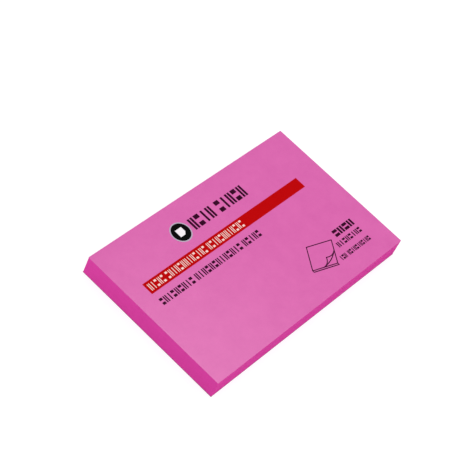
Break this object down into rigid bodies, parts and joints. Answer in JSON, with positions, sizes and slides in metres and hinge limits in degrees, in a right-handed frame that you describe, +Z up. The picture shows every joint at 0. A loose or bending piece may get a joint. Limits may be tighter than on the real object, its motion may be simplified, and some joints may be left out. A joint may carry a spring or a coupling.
{
  "type": "sticky note pad",
  "caption": "Flat oblong pad of pink re-stickable notes with a printed cover note, glued along one long edge and backed by a coated sheet.",
  "frame": {"origin": "middle of the underside of the pad, on the surface it rests on", "axes": "+X along the long sides, in the print's reading direction; +Y towards the glued long edge, the top of the print; +Z up, out of the printed cover"},
  "size_m": [0.127, 0.076, 0.0103],
  "materials": {
    "liner_paper": "smooth",
    "note_paper": "matte",
    "note_glue": "matte",
    "cover_paper": "matte",
    "red_ink": "matte",
    "white_ink": "matte",
    "dark_ink": "matte",
    "black_ink": "matte",
    "grey_ink": "matte"
  },
  "bodies": {
    "root": {"liner_sheet": "liner_paper", "note_block": "note_paper", "glue_strip": "note_glue", "cover_note": "cover_paper", "banner": "red_ink", "banner_marks": "white_ink", "subline_marks": "dark_ink", "heading_marks": "dark_ink", "bold_marks": "dark_ink", "middle_marks": "dark_ink", "small_marks": "dark_ink", "emblem_disc": "black_ink", "emblem_rim": "grey_ink", "emblem_note": "white_ink", "line_drawing": "dark_ink"}
  },
  "joints": []
}
